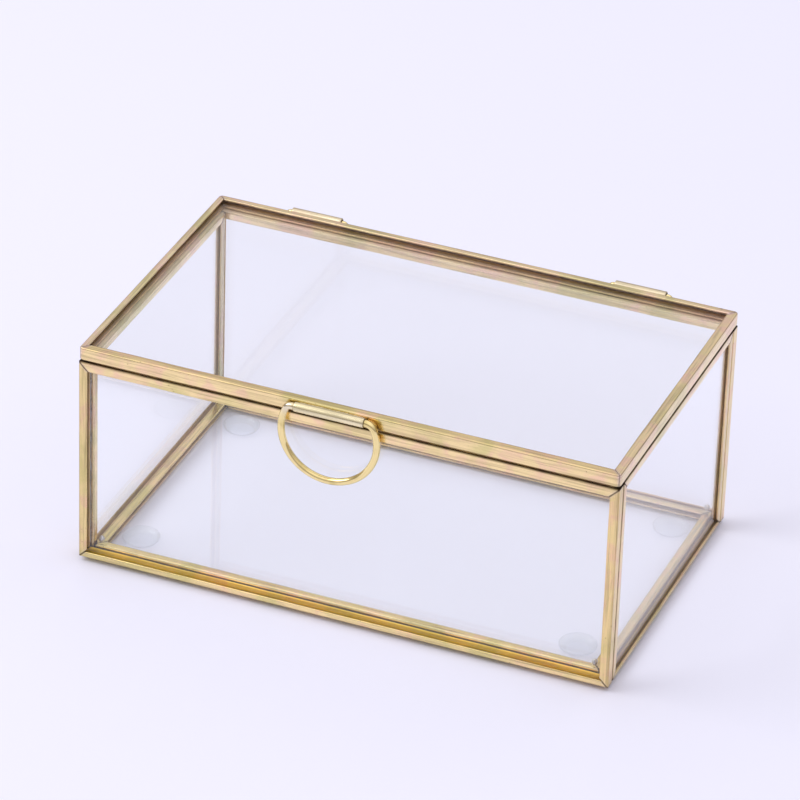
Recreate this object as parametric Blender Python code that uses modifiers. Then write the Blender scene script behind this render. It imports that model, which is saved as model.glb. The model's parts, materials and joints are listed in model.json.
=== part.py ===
"""Glass jewelry box: five glass panels in brass channel, a hinged glass lid and a D-shaped pull ring.

Metres, +Z up. X runs along the box, -Y is the front, and the origin is on the table under the box's centre.
Every panel is a pane held on its four edges by folded brass channel with mitred corners. The front and back
panels run the full length, the side panels fit between them, and the bottom panel fits inside all four.
"""

from math import asin, cos, pi, sin, sqrt

import bmesh
import bpy
from mathutils import Matrix, Vector

# The whole box
BOX_LENGTH = 0.140  # along X, over the frame
BOX_WIDTH = 0.085  # along Y, over the frame
FRAME_HEIGHT = 0.060  # from the bottom rails' underside to the lid's top
FOOT_STANDOFF = 0.0012  # how far the feet hold the frame off the table
FIT_GAP = 0.0003  # left between panels that are soldered to each other
LID_GAP = 0.00045  # the dark line between the closed lid and the body

# Brass channel and glass
SHEET = 0.0004  # thickness of the brass strip
BEND = 0.0005  # outside radius of its folds
CHANNEL = 0.0030  # width of the web, and so the thickness of a wall or of the bottom
LID_CHANNEL = 0.0034  # the same for the lid
FLANGE = 0.0023  # how far a flange reaches over the glass
OUTER_FLANGES = {  # the same for the outer flange of the rails on which it was folded longer or shorter
    "front_top_rail": 0.0027, "front_bottom_rail": 0.0016, "front_right_stile": 0.0025,
    "right_bottom_rail": 0.0013,
    "lid_front_rail": 0.0026, "lid_right_rail": 0.0025, "lid_back_rail": 0.0020, "lid_left_rail": 0.0018,
}
MITRE_SETBACK = 0.0002  # each rail's end stops this far short of the mitre line
PANE = 0.0017  # glass thickness
PANE_EDGE_GAP = 0.0003  # between the glass's edge and the web

# Barrels, hinge pins and pull ring
BARREL_RADIUS = 0.0012
BARREL_STANDOFF = 0.00025  # gap between a barrel or a pin's leg and the rail it is soldered to
BARREL_DROP = 0.0012  # barrel's axis below the lid's top
HINGE_LENGTH = 0.0135
HINGE_OFFSET = 0.0437  # hinge barrel's middle, left and right of the box's middle
PIN_RADIUS = 0.0006
PIN_BEND = 0.0010  # centreline radius where a pin turns down into its leg
PIN_OVERHANG = 0.0004  # straight wire between the barrel's end and that bend
PIN_LEG = 0.0040  # how far a leg reaches below the hinge axis
HANDLE_LENGTH = 0.0181
HANDLE_X = -0.0034  # the pull sits a little left of the middle
RING_WIRE_RADIUS = 0.0009
RING_RADIUS = 0.0124  # centreline radius of the ring's round part
RING_DROP = 0.0060  # that arc's centre below the barrel's axis
RING_CORNER = 0.0020  # centreline radius where the wire turns into the barrel
RING_END_GAP = 0.0006  # between the wire's two ends, in the middle of the barrel
RUNNING_CLEARANCE = 0.0001  # between a wire and the barrel that it turns in

# Feet and solder
FOOT_RADIUS = 0.00475
FOOT_SOLE_RADIUS = 0.0031
FOOT_GAP = 0.00025  # between a foot and the bottom pane
FOOT_PLACES = {
    "front_left": (-0.0590, -0.0284),
    "front_right": (0.0572, -0.0280),
    "back_left": (-0.0578, 0.0312),
    "back_right": (0.0584, 0.0314),
}
BEAD_RADIUS = 0.0008
BEAD_HEIGHT_RATIO = 1.25
BEAD_SHIFT = 0.0007  # how much further a bead sits from the side panel than from the front or back one

BARREL_SIDES = 32
FOOT_SIDES = 48
ARC_STEPS = 5  # segments in a quarter turn of a fold or of a small bend
RING_ARC_STEPS = 40

LID_TOP = FOOT_STANDOFF + FRAME_HEIGHT
BODY_TOP = LID_TOP - LID_CHANNEL - LID_GAP
BARREL_REACH = BARREL_RADIUS + BARREL_STANDOFF  # barrel's axis in front of, or behind, the frame
BARREL_Z = LID_TOP - BARREL_DROP

BRASS = ("brass", (0.80, 0.60, 0.33), 0.30, 1.0)
GLASS = ("clear_glass", (0.92, 0.96, 0.97), 0.03, 0.0)
RUBBER = ("clear_rubber", (0.86, 0.88, 0.90), 0.25, 0.0)
SOLDER = ("solder", (0.62, 0.61, 0.62), 0.28, 1.0)

AXIS_WORDS = {"left": (-1, 0, 0), "right": (1, 0, 0), "front": (0, -1, 0), "back": (0, 1, 0),
              "bottom": (0, 0, -1), "top": (0, 0, 1)}


def clear_scene():
    for obj in list(bpy.data.objects):
        bpy.data.objects.remove(obj, do_unlink=True)


def make_collection(name):
    collection = bpy.data.collections.new(name)
    bpy.context.scene.collection.children.link(collection)
    return collection


def make_material(name, colour, roughness, metallic):
    """One Principled material per finish, made the first time that it is asked for."""
    found = bpy.data.materials.get(name)
    if found:
        return found
    material = bpy.data.materials.new(name)
    material.use_nodes = True
    shader = material.node_tree.nodes["Principled BSDF"]
    shader.inputs["Base Color"].default_value = (*colour, 1.0)
    shader.inputs["Roughness"].default_value = roughness
    shader.inputs["Metallic"].default_value = metallic
    material.diffuse_color = (*colour, 1.0)
    return material


def add_part(name, mesh, finish, parent=None, world=None):
    """Puts a mesh in the box's collection with its finish, at a place in the world, under a joint's empty."""
    part = bpy.data.objects.new(name, mesh)
    BOX.objects.link(part)
    mesh.materials.append(make_material(*finish))
    part.parent = parent
    bpy.context.view_layer.update()
    part.matrix_world = world or Matrix.Identity(4)
    return part


def shade_round(mesh, sharp_over=pi / 4.5):
    mesh.shade_smooth()
    mesh.set_sharp_from_angle(angle=sharp_over)


def arc(centre, radius, start, end, steps):
    """Points on a circle in a plane, from one angle to another, both ends included."""
    turns = [start + (end - start) * i / steps for i in range(steps + 1)]
    return [(centre[0] + radius * cos(t), centre[1] + radius * sin(t)) for t in turns]


def curve_to_mesh(curve, name):
    """The welded, closed mesh of a curve, with its faces pointing out."""
    holder = bpy.data.objects.new(name + "_guide", curve)
    BOX.objects.link(holder)
    graph = bpy.context.evaluated_depsgraph_get()
    mesh = bpy.data.meshes.new_from_object(holder.evaluated_get(graph))
    bpy.data.objects.remove(holder)
    mesh.name = name
    bm = bmesh.new()
    bm.from_mesh(mesh)
    bmesh.ops.remove_doubles(bm, verts=bm.verts, dist=1e-6)
    bmesh.ops.recalc_face_normals(bm, faces=bm.faces)
    bm.to_mesh(mesh)
    bm.free()
    return mesh


def channel_outline(width, outer_flange):
    """The channel's U: x across the panel and positive outside, y inwards from the web's outer face."""
    half = width / 2
    inner = BEND - SHEET
    outside = arc((-half + BEND, BEND), BEND, pi, 1.5 * pi, ARC_STEPS)
    outside += arc((half - BEND, BEND), BEND, 1.5 * pi, 2 * pi, ARC_STEPS)
    inside = arc((half - BEND, BEND), inner, 2 * pi, 1.5 * pi, ARC_STEPS)
    inside += arc((-half + BEND, BEND), inner, 1.5 * pi, pi, ARC_STEPS)
    lips = [(half, outer_flange), (half - SHEET, outer_flange)]
    return [(-half, FLANGE)] + outside + lips + inside + [(-half + SHEET, FLANGE)]


def channel_mesh(name, width, half_length):
    """A length of channel along Z. Each end slides back by its distance inwards, which cuts a 45 degree mitre."""
    curve = bpy.data.curves.new(name, "CURVE")
    curve.dimensions = "2D"
    curve.fill_mode = "BOTH"
    curve.extrude = half_length
    outline = channel_outline(width, OUTER_FLANGES.get(name, FLANGE))
    spline = curve.splines.new("POLY")
    spline.points.add(len(outline) - 1)
    for point, (x, y) in zip(spline.points, outline):
        point.co = (x, y, 0.0, 1.0)
    spline.use_cyclic_u = True
    mesh = curve_to_mesh(curve, name)
    for vertex in mesh.vertices:
        end = 1.0 if vertex.co.z > 0 else -1.0
        vertex.co.z = end * (half_length - vertex.co.y - MITRE_SETBACK)
    shade_round(mesh)
    return mesh


def pane_mesh(name, normal, half_size):
    """A sheet of glass that stops just short of the webs, with its edges seamed."""
    seam = 0.0001
    thickness = [PANE / 2 if abs(n) > 0.5 else h - SHEET - PANE_EDGE_GAP for n, h in zip(normal, half_size)]
    bm = bmesh.new()
    bmesh.ops.create_cube(bm, size=2.0)
    bmesh.ops.scale(bm, vec=thickness, verts=bm.verts)
    bmesh.ops.bevel(bm, geom=list(bm.edges), offset=seam, segments=1, affect="EDGES")
    mesh = bpy.data.meshes.new(name)
    bm.to_mesh(mesh)
    bm.free()
    return mesh


def framed_panel(panel, facing, sides, centre, half_size, parent=None):
    """A pane and its four mitred rails. The panel faces outwards along a named axis, and sides names its edges."""
    normal = Vector(AXIS_WORDS[facing])
    centre = Vector(centre)
    half_size = Vector(half_size)
    middle = Matrix.Translation(centre)
    add_part(panel + "_pane", pane_mesh(panel + "_pane", normal, half_size), GLASS, parent, middle)
    for side in sides:
        outwards = Vector(AXIS_WORDS[side])
        inwards = -outwards
        along = normal.cross(inwards)
        reach = abs(half_size.dot(outwards))
        half_length = abs(half_size.dot(along))
        width = 2.0 * abs(half_size.dot(normal))
        upright = abs(along.z) > 0.5
        name = f"{panel}_{side}_{'stile' if upright else 'rail'}"
        turned = Matrix((normal, inwards, along)).transposed().to_4x4()
        place = Matrix.Translation(centre + outwards * reach) @ turned
        add_part(name, channel_mesh(name, width, half_length), BRASS, parent, place)


def profile_mesh(name, profile, closed):
    """The outline of a turned piece in the XZ plane. It runs down its outer side, so that its faces point out."""
    mesh = bpy.data.meshes.new(name)
    bm = bmesh.new()
    points = [bm.verts.new((x, 0.0, z)) for x, z in profile]
    pairs = list(zip(points, points[1:]))
    if closed:
        pairs.append((points[-1], points[0]))
    for first, second in pairs:
        bm.edges.new((first, second))
    bm.to_mesh(mesh)
    bm.free()
    return mesh


def add_turned(name, profile, sides, finish, world, parent=None, closed=True):
    """A piece of revolution about its own Z axis."""
    part = add_part(name, profile_mesh(name, profile, closed), finish, parent, world)
    screw = part.modifiers.new("turned", "SCREW")
    screw.axis = "Z"
    screw.steps = sides
    screw.render_steps = sides
    screw.use_merge_vertices = True
    screw.merge_threshold = 0.00001
    screw.use_smooth_shade = True
    return part


def add_barrel(name, length, bore_radius, centre, parent):
    """A short tube along X, with its end edges broken."""
    half = length / 2
    edge = 0.0001
    outside = [(BARREL_RADIUS - edge, half), (BARREL_RADIUS, half - edge),
               (BARREL_RADIUS, -half + edge), (BARREL_RADIUS - edge, -half)]
    profile = outside + [(bore_radius, -half), (bore_radius, half)]
    world = Matrix.Translation(centre) @ Matrix.Rotation(pi / 2, 4, "Y")
    return add_turned(name, profile, BARREL_SIDES, BRASS, world, parent)


def add_wire(name, points, radius, rounds, parent, world):
    """A round wire along the points, which are in the piece's own frame."""
    curve = bpy.data.curves.new(name, "CURVE")
    curve.dimensions = "3D"
    curve.bevel_depth = radius
    curve.bevel_resolution = rounds
    curve.use_fill_caps = True
    spline = curve.splines.new("POLY")
    spline.points.add(len(points) - 1)
    for point, place in zip(spline.points, points):
        point.co = (*place, 1.0)
    mesh = curve_to_mesh(curve, name)
    shade_round(mesh)
    return add_part(name, mesh, BRASS, parent, world)


def pin_path():
    """A hinge pin as a staple: the pin along X, and a leg at each end that turns down and in to the back rail."""
    bend_x = HINGE_LENGTH / 2 + PIN_OVERHANG
    inwards = BARREL_RADIUS - PIN_RADIUS
    side = [(x, 0.0, z) for x, z in arc((bend_x, -PIN_BEND), PIN_BEND, pi / 2, 0.0, ARC_STEPS)]
    leg_x = bend_x + PIN_BEND
    lean = 1.2 * PIN_BEND
    side += [(leg_x, -inwards, -PIN_BEND - lean), (leg_x, -inwards, -PIN_LEG)]
    other = [(-x, y, z) for x, y, z in reversed(side)]
    return other + side


def ring_path():
    """The pull ring in its own XZ plane: from the barrel's middle, round the D, and back to the middle."""
    corner_z = RING_CORNER - RING_DROP
    corner_x = sqrt((RING_RADIUS - RING_CORNER) ** 2 - corner_z**2)
    shoulder = asin(-corner_z / (RING_RADIUS - RING_CORNER))
    start = [(RING_END_GAP / 2, 0.0), (corner_x / 2, 0.0)]
    first = arc((corner_x, -RING_CORNER), RING_CORNER, pi / 2, shoulder, ARC_STEPS + 2)
    round_part = arc((0.0, -RING_DROP), RING_RADIUS, shoulder, -pi - shoulder, RING_ARC_STEPS)
    last = [(-x, z) for x, z in reversed(start + first)]
    return [(x, 0.0, z) for x, z in start + first[:-1] + round_part + last[1:]]


def add_foot(name, place):
    """A clear bumper: a flat top under the bottom pane, and a domed side that ends in a flat sole."""
    top = FOOT_STANDOFF + (CHANNEL - PANE) / 2 - FOOT_GAP
    flare = FOOT_RADIUS - FOOT_SOLE_RADIUS
    steps = 6
    angles = [pi / 2 * i / steps for i in range(steps + 1)]
    side = [(FOOT_SOLE_RADIUS + flare * cos(t), top * (1.0 - sin(t))) for t in angles]
    world = Matrix.Translation((*place, 0.0))
    return add_turned(name, [(0.0, top)] + side + [(0.0, 0.0)], FOOT_SIDES, RUBBER, world, closed=False)


def add_bead(name, side_x, side_y):
    """A solder bead in an inside bottom corner, clear of the three channels that meet there."""
    clearance = BEAD_RADIUS + FIT_GAP
    height = BEAD_RADIUS * BEAD_HEIGHT_RATIO
    x = side_x * (BOX_LENGTH / 2 - CHANNEL - clearance - BEAD_SHIFT)
    y = side_y * (BOX_WIDTH / 2 - CHANNEL - clearance)
    z = FOOT_STANDOFF + CHANNEL + FIT_GAP + height
    mesh = bpy.data.meshes.new(name)
    bm = bmesh.new()
    bmesh.ops.create_uvsphere(bm, u_segments=16, v_segments=10, radius=BEAD_RADIUS)
    bmesh.ops.scale(bm, vec=(1.0, 1.0, BEAD_HEIGHT_RATIO), verts=bm.verts)
    bm.to_mesh(mesh)
    bm.free()
    mesh.shade_smooth()
    return add_part(name, mesh, SOLDER, world=Matrix.Translation((x, y, z)))


def add_axis(name, centre, parent=None):
    """An empty on a joint's axis, which its moving pieces hang from."""
    empty = bpy.data.objects.new(name, None)
    BOX.objects.link(empty)
    empty.empty_display_size = 0.01
    empty.parent = parent
    bpy.context.view_layer.update()
    empty.matrix_world = Matrix.Translation(centre)
    bpy.context.view_layer.update()
    return empty


def build_body():
    half_thick = CHANNEL / 2
    half_x = BOX_LENGTH / 2
    half_y = BOX_WIDTH / 2
    inset = CHANNEL + FIT_GAP  # how far a panel that fits between two others stops short of the outside
    wall_half = (BODY_TOP - FOOT_STANDOFF) / 2
    wall_z = FOOT_STANDOFF + wall_half
    for name, sign in (("front", -1), ("back", 1)):
        framed_panel(name, name, ("top", "bottom", "left", "right"),
                     (0.0, sign * (half_y - half_thick), wall_z), (half_x, half_thick, wall_half))
    for name, sign in (("left", -1), ("right", 1)):
        framed_panel(name, name, ("top", "bottom", "front", "back"),
                     (sign * (half_x - half_thick), 0.0, wall_z), (half_thick, half_y - inset, wall_half))
    framed_panel("bottom", "bottom", ("front", "back", "left", "right"),
                 (0.0, 0.0, FOOT_STANDOFF + half_thick), (half_x - inset, half_y - inset, half_thick))
    for name, place in FOOT_PLACES.items():
        add_foot("foot_" + name, place)
    for x_word, side_x in (("left", -1), ("right", 1)):
        for y_word, side_y in (("front", -1), ("back", 1)):
            add_bead(f"solder_bead_{y_word}_{x_word}", side_x, side_y)


def build_lid():
    axis_y = BOX_WIDTH / 2 + BARREL_REACH
    hinge_axis = add_axis("lid_hinge_axis", (0.0, axis_y, BARREL_Z))
    framed_panel("lid", "top", ("front", "back", "left", "right"),
                 (0.0, 0.0, LID_TOP - LID_CHANNEL / 2), (BOX_LENGTH / 2, BOX_WIDTH / 2, LID_CHANNEL / 2),
                 hinge_axis)
    for word, sign in (("left", -1), ("right", 1)):
        centre = (sign * HINGE_OFFSET, axis_y, BARREL_Z)
        add_barrel("hinge_barrel_" + word, HINGE_LENGTH, PIN_RADIUS + RUNNING_CLEARANCE, centre, hinge_axis)
        add_wire("hinge_pin_" + word, pin_path(), PIN_RADIUS, 3, None, Matrix.Translation(centre))
    return hinge_axis


def build_pull(hinge_axis):
    centre = (HANDLE_X, -BOX_WIDTH / 2 - BARREL_REACH, BARREL_Z)
    add_barrel("handle_barrel", HANDLE_LENGTH, RING_WIRE_RADIUS + RUNNING_CLEARANCE, centre, hinge_axis)
    ring_axis = add_axis("ring_swing_axis", centre, hinge_axis)
    add_wire("pull_ring", ring_path(), RING_WIRE_RADIUS, 4, ring_axis, Matrix.Translation(centre))


clear_scene()
BOX = make_collection("jewelry_box")
build_body()
build_pull(build_lid())
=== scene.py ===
"""Looks of a small jewelry box: clear glass panes in brass channel, with a hinged lid and a D-shaped pull."""

import math
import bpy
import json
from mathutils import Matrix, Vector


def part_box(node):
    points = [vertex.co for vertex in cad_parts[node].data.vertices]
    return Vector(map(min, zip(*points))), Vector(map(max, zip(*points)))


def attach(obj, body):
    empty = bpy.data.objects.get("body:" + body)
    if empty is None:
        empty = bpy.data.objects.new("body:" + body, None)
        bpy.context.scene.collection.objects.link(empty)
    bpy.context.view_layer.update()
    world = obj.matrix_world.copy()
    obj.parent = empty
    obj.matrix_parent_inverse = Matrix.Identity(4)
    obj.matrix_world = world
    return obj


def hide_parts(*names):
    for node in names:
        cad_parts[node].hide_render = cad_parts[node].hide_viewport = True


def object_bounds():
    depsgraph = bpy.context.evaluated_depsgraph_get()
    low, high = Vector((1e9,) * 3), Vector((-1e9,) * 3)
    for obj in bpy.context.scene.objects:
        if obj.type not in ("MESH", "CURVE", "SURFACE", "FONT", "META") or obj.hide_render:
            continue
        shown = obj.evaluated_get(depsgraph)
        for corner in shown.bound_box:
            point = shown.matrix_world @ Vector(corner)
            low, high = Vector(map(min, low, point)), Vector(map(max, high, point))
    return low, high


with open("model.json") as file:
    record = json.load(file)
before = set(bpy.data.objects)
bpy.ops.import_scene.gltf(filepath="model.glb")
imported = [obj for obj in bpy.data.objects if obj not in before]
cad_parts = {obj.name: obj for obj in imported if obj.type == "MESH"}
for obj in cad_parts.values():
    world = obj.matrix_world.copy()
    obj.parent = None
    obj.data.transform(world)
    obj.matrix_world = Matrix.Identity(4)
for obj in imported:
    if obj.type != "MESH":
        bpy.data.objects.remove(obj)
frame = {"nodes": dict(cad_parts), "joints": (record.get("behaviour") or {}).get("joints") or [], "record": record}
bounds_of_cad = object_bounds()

import zlib

import bmesh
import bpy
import numpy as np
from mathutils import Matrix, Vector

MM = 0.001
CM = 0.01  # the unit of the flat maps that the brass's lines follow
BODY_OF_NODE = {
    node: body for body, nodes in frame["record"]["behaviour"]["bodies"].items() for node in nodes
}

# ---------------------------------------------------------------------------------------------------------
# Shader arithmetic
# ---------------------------------------------------------------------------------------------------------


class Value:
    """A shader socket that takes part in ordinary arithmetic. Each operation adds one Math node."""

    def __init__(self, shader, socket):
        self.shader = shader
        self.socket = socket

    def _math(self, operation, *values, clamp=False):
        inputs = dict(enumerate(values))
        return self.shader.node("ShaderNodeMath", {"operation": operation, "use_clamp": clamp}, inputs)

    def __add__(self, other):
        return self._math("ADD", self, other)

    def __radd__(self, other):
        return self._math("ADD", other, self)

    def __sub__(self, other):
        return self._math("SUBTRACT", self, other)

    def __rsub__(self, other):
        return self._math("SUBTRACT", other, self)

    def __mul__(self, other):
        return self._math("MULTIPLY", self, other)

    def __pow__(self, other):
        return self._math("POWER", self, other)

    def clamp(self):
        return self._math("ADD", self, 0.0, clamp=True)

    def largest(self, other):
        return self._math("MAXIMUM", self, other)

    def ramp(self, low, high):
        """0 at low, 1 at high and a smooth step between them, level beyond both. Low may be the larger."""
        inputs = {"Value": self, "From Min": low, "From Max": high}
        return self.shader.node("ShaderNodeMapRange", {"interpolation_type": "SMOOTHSTEP"}, inputs)


class Shader:
    """One material, whose nodes are added by calls that name the node, its settings and its inputs."""

    def __init__(self, name):
        self.material = bpy.data.materials.new(name)
        self.material.use_nodes = True
        self.tree = self.material.node_tree
        self.tree.nodes.clear()
        self.output = self.tree.nodes.new("ShaderNodeOutputMaterial")

    def node(self, kind, settings=None, inputs=None, output=0):
        made = self.tree.nodes.new(kind)
        for name, value in (settings or {}).items():
            setattr(made, name, value)
        for name, value in (inputs or {}).items():
            if isinstance(value, Value):
                self.tree.links.new(value.socket, made.inputs[name])
            else:
                made.inputs[name].default_value = value
        return Value(self, made.outputs[output])

    def place(self):
        return self.node("ShaderNodeTexCoord", output="Object")

    def along(self):
        """The piece's own map: X is the distance along it and Y the distance round it, in centimetres."""
        return self.node("ShaderNodeUVMap", {"uv_map": "strip"})

    def grazing(self):
        """0 where the surface is seen square on, and 1 where it is seen edge on."""
        return self.node("ShaderNodeLayerWeight", {}, {"Blend": 0.5}, "Facing")

    def light_path(self, kind):
        return self.node("ShaderNodeLightPath", output=kind)

    def attribute(self, name, output="Fac"):
        return self.node("ShaderNodeAttribute", {"attribute_name": name}, output=output)

    def stretch(self, vector, x, y, z):
        inputs = {0: vector, 1: (x, y, z)}
        return self.node("ShaderNodeVectorMath", {"operation": "MULTIPLY"}, inputs, "Vector")

    def noise(self, vector, scale, detail=3.0, roughness=0.5, distortion=0.0):
        inputs = {"Vector": vector, "Scale": scale, "Detail": detail, "Roughness": roughness}
        return self.node("ShaderNodeTexNoise", {}, {**inputs, "Distortion": distortion})

    def specks(self, vector, scale, randomness=1.0):
        """Distance from the nearest of some scattered points, in cells."""
        inputs = {"Vector": vector, "Scale": scale, "Randomness": randomness}
        return self.node("ShaderNodeTexVoronoi", {"feature": "F1"}, inputs, "Distance")

    def mix(self, first, second, factor, blend="MIX"):
        """A colour part of the way from the first to the second."""
        settings = {"data_type": "RGBA", "blend_type": blend}
        return self.node("ShaderNodeMix", settings, {0: factor, 6: first, 7: second}, 2)

    def bump(self, height, distance, strength=1.0):
        return self.node("ShaderNodeBump", {}, {"Height": height, "Distance": distance, "Strength": strength})

    def principled(self, **inputs):
        """Each input has its socket's name, with _ in place of a space."""
        sockets = {name.replace("_", " "): value for name, value in inputs.items()}
        return self.node("ShaderNodeBsdfPrincipled", {}, sockets)

    def transparent(self, colour):
        return self.node("ShaderNodeBsdfTransparent", {}, {"Color": colour})

    def blend(self, first, second, share):
        """A surface that is the given share of the second and the rest of the first."""
        return self.node("ShaderNodeMixShader", {}, {0: share, 1: first, 2: second})

    def finish(self, surface):
        self.tree.links.new(surface.socket, self.output.inputs["Surface"])
        return self.material


def rgb(red, green, blue):
    return (red, green, blue, 1.0)


# ---------------------------------------------------------------------------------------------------------
# Materials
# ---------------------------------------------------------------------------------------------------------


def drawn_brass(name, bright, pink, olive, mottle, least_rough):
    """Drawn brass strip: lines along its length, blooms of pink and olive tarnish, pits, nicks and painted shade.

    A piece's points say how much dark joint line and painted shade they hold, which factor its colour takes
    (tint, which holds painted reflection and shade too), and how far its shine has gone (dull).
    """
    shader = Shader(name)
    place = shader.place()
    along = shader.along()
    grime = shader.attribute("grime")
    tint = shader.attribute("tint", "Color")
    dull = shader.attribute("dull")
    fine = shader.noise(shader.stretch(along, 0.35, 55.0, 1.0), 1.0, 4.0, 0.65)
    broad = shader.noise(shader.stretch(along, 0.5, 12.0, 1.0), 1.0, 3.0, 0.6, 0.4)
    bloom = shader.noise(place, 210.0, 4.0, 0.55, 0.6)
    patches = shader.noise(place, 62.0, 4.0, 0.55, 0.5)
    colour = shader.mix(rgb(*bright), rgb(*pink), (bloom.ramp(0.44, 0.66) * mottle).clamp())
    colour = shader.mix(colour, rgb(*olive), (patches.ramp(0.47, 0.66) * mottle).clamp())
    streaks = (fine - 0.47) * 1.5 + (broad - 0.47) * 2.0
    in_streak = rgb(*(0.50 * channel for channel in bright))
    colour = shader.mix(colour, in_streak, (streaks * 1.35).clamp())
    colour = shader.mix(colour, tint, 1.0, "MULTIPLY")
    pits = shader.specks(place, 900.0).ramp(0.16, 0.07) * shader.noise(place, 160.0).ramp(0.54, 0.64)
    nicks = shader.specks(shader.stretch(place, 1.0, 1.0, 1.6), 85.0).ramp(0.055, 0.02)
    nicks = nicks * shader.noise(place, 420.0).ramp(0.40, 0.55)
    # Pits, nicks, dark joint lines and painted shade pull the brass towards near-black here.
    all_marks_and_shade = (grime * (0.75 + bloom * 0.5) + pits * 0.7 + nicks * 0.65).clamp()
    colour = shader.mix(colour, rgb(0.050, 0.028, 0.012), all_marks_and_shade)
    uneven = (fine - 0.5) * 0.22 + (bloom - 0.45) * 0.18
    roughness = (least_rough + uneven + all_marks_and_shade * 0.35 + dull * 0.3).clamp()
    height = fine * 0.5 + broad * 0.5 + patches * 1.6 - pits * 0.8
    surface = shader.principled(
        Base_Color=colour, Metallic=(1.0 - dull * 0.85).clamp(), Roughness=roughness,
        Normal=shader.bump(height, 0.00002, 0.6),
    )
    return shader.finish(surface)


def polished_wire(name, bright, dull):
    """Polished brass wire: a few lines along it, a duller film in places, and a painted olive-dark reflection at
    its edges.

    A wire's points say how much painted shade darkens them, and how much solder has wetted it (in dull).
    """
    shader = Shader(name)
    place = shader.place()
    along = shader.along()
    fine = shader.noise(shader.stretch(along, 0.5, 26.0, 1.0), 1.0, 3.0, 0.6)
    film = shader.noise(place, 260.0, 3.0, 0.5, 0.4)
    grime = shader.attribute("grime")
    tinned = shader.attribute("dull")
    filmed = (film.ramp(0.42, 0.7) * 0.6 + (fine - 0.5) * 1.8).clamp()
    colour = shader.mix(rgb(*bright), rgb(*dull), filmed)
    # Painted reflection: dark olive where the wire is seen edge on.
    colour = shader.mix(colour, rgb(0.40, 0.30, 0.10), (shader.grazing() ** 3.0 * 0.9).clamp())
    colour = shader.mix(colour, rgb(0.82, 0.74, 0.58), tinned)
    # Painted shade: near-black where the points ask for it, as inside the barrel.
    colour = shader.mix(colour, rgb(0.10, 0.060, 0.024), (grime * (0.8 + film * 0.4)).clamp())
    roughness = (0.07 + (fine - 0.4) * 0.10 + film * 0.06 + grime * 0.3).clamp()
    surface = shader.principled(
        Base_Color=colour, Metallic=1.0, Roughness=roughness,
        Normal=shader.bump(fine * 0.6 + film * 0.8, 0.00002, 0.4),
    )
    return shader.finish(surface)


def window_glass(name):
    """Clear float glass that bends what is behind it, with a faint film of wiped dust.

    Light on its way to a lamp, or from a dull surface, goes straight through, so that the glass casts no hard
    shadow.
    """
    shader = Shader(name)
    place = shader.place()
    wiped = shader.noise(shader.stretch(place, 1.0, 1.6, 1.3), 34.0, 2.0, 0.5, 0.8)
    sheet = shader.principled(
        Base_Color=rgb(0.992, 1.0, 1.0), Transmission_Weight=1.0, IOR=1.5,
        Roughness=(wiped.ramp(0.45, 0.8) * 0.02).clamp(),
    )
    straight = shader.light_path("Is Shadow Ray").largest(shader.light_path("Is Diffuse Ray"))
    return shader.finish(shader.blend(sheet, shader.transparent(rgb(0.996, 0.998, 0.999)), straight))


def ground_edge(name):
    """The ground edge of a pane in its channel: dull brown, darker in patches along its scratches."""
    shader = Shader(name)
    scratches = shader.noise(shader.place(), 1400.0, 3.0, 0.6)
    colour = shader.mix(rgb(0.20, 0.15, 0.12), rgb(0.09, 0.065, 0.05), scratches.ramp(0.4, 0.65))
    return shader.finish(shader.principled(Base_Color=colour, Roughness=(0.5 + scratches * 0.3).clamp()))


def clear_rubber(name):
    """Soft clear plastic of a bumper foot: mostly see-through, a little cloudy, and brighter at its rim."""
    shader = Shader(name)
    place = shader.place()
    cloud = shader.noise(place, 380.0, 3.0, 0.55)
    skin = shader.principled(
        Base_Color=shader.mix(rgb(0.82, 0.84, 0.90), rgb(0.96, 0.97, 1.0), cloud.ramp(0.35, 0.7)),
        Metallic=1.0, Roughness=(0.14 + cloud * 0.15).clamp(),
    )
    share = (0.08 + shader.grazing() ** 2.5 * 0.8 + (cloud - 0.5) * 0.1).clamp()
    return shader.finish(shader.blend(shader.transparent(rgb(0.988, 0.994, 0.990)), skin, share))


def tin_solder(name, brightness):
    """Tin solder: bright and lumpy, with grey oxide and brown flux left in its hollows."""
    shader = Shader(name)
    place = shader.place()
    lumps = shader.noise(place, 900.0, 3.0, 0.55, 0.4)
    oxide = shader.noise(place, 2600.0, 3.0, 0.6)
    bright = rgb(*(channel * brightness for channel in (0.72, 0.71, 0.72)))
    grey = rgb(*(channel * brightness for channel in (0.36, 0.33, 0.30)))
    flux = rgb(*(channel * brightness for channel in (0.22, 0.14, 0.07)))
    colour = shader.mix(bright, grey, oxide.ramp(0.40, 0.70))
    colour = shader.mix(colour, flux, lumps.ramp(0.55, 0.80))
    surface = shader.principled(
        Base_Color=colour, Metallic=1.0, Roughness=(0.20 + oxide * 0.35).clamp(),
        Normal=shader.bump(lumps + oxide * 0.3, 0.0001, 0.6),
    )
    return shader.finish(surface)


def table_top(name):
    """A smooth pale lilac surface, with a faint unevenness."""
    shader = Shader(name)
    place = shader.place()
    cloud = shader.noise(place, 5.0, 3.0, 0.5)
    grain = shader.noise(place, 900.0, 2.0, 0.5)
    share = (cloud * 0.8 + grain * 0.2).clamp()
    surface = shader.principled(
        Base_Color=shader.mix(rgb(0.850, 0.854, 0.968), rgb(0.868, 0.871, 0.988), share),
        Roughness=(0.55 + grain * 0.1).clamp(), Specular_IOR_Level=0.3,
    )
    return shader.finish(surface)


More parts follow.
